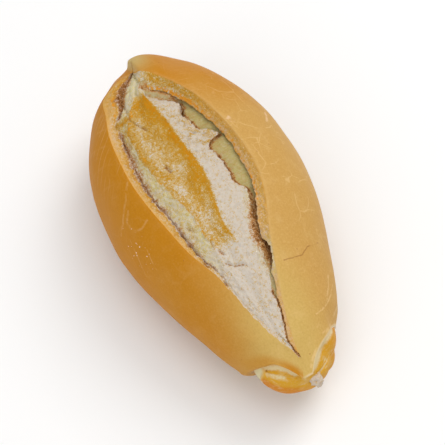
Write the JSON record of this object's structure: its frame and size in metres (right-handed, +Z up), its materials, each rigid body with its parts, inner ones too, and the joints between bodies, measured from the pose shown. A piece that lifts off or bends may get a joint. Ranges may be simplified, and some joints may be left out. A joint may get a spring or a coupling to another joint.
{
  "type": "bread roll",
  "caption": "Crusty white bread roll, pointed oval, slashed lengthwise and burst open, with the tucked end of the dough showing under the crust.",
  "frame": {"origin": "middle of the base, on the surface that the roll lies on", "axes": "+Z up; +X along the roll towards the tucked end; +Y towards the side whose crust overhangs the slash"},
  "size_m": [0.1283, 0.068, 0.0476],
  "materials": {
    "crust": "satin golden-brown bread crust, with rough cream-white crumb inside the slash"
  },
  "bodies": {
    "root": {"bread_roll": "crust"}
  },
  "joints": []
}
